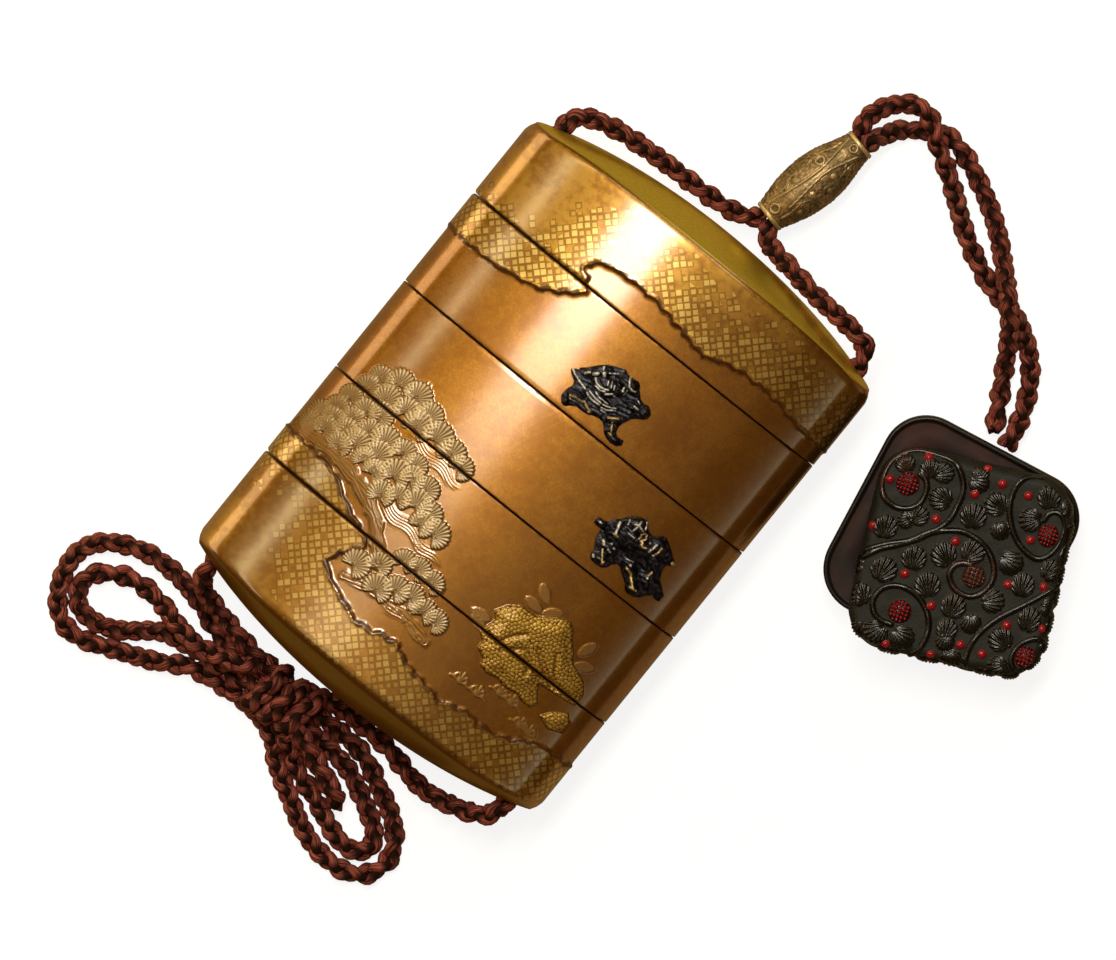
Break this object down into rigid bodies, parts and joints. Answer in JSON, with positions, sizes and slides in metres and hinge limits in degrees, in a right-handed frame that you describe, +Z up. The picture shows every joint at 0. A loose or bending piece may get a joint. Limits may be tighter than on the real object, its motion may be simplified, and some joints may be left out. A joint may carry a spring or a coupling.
{
  "type": "inro case",
  "caption": "Flattened lacquered case of stacked tiers with domed lid and base, strung on a braided silk cord that is tied in a bow, threaded through a bead and ended in a square carved toggle.",
  "frame": {"origin": "on the ground under the middle of the case, which lies on its back", "axes": "+X across the case's width, +Y along it towards the lid, +Z up, out of its decorated front"},
  "size_m": [0.119, 0.1402, 0.0237],
  "materials": {
    "gold_lacquer": "satin gold lacquer over a wooden core, with inlaid gold squares and raised lacquer pictures",
    "dark_metal": "patinated dark copper alloy with gilt details",
    "silk_cord": "braided silk, dark red-brown",
    "old_brass": "aged, worn bright on the ribs",
    "brown_lacquer": "glossy red-brown lacquer",
    "black_lacquer": "carved, worn greenish-black lacquer with dark red touches"
  },
  "bodies": {
    "root": {"lid": "gold_lacquer", "case_upper": "gold_lacquer", "case_middle": "gold_lacquer", "case_lower": "gold_lacquer", "base_case": "gold_lacquer", "figure_upper": "dark_metal", "figure_lower": "dark_metal", "cord_left": "silk_cord", "cord_right": "silk_cord", "bow_left_outer": "silk_cord", "bow_left_inner": "silk_cord", "bow_right_outer": "silk_cord", "bow_right_inner": "silk_cord", "bow_tucked_fold": "silk_cord", "bow_knot": "silk_cord", "cord_bead": "old_brass", "toggle_back": "brown_lacquer", "toggle_front": "black_lacquer"}
  },
  "joints": []
}
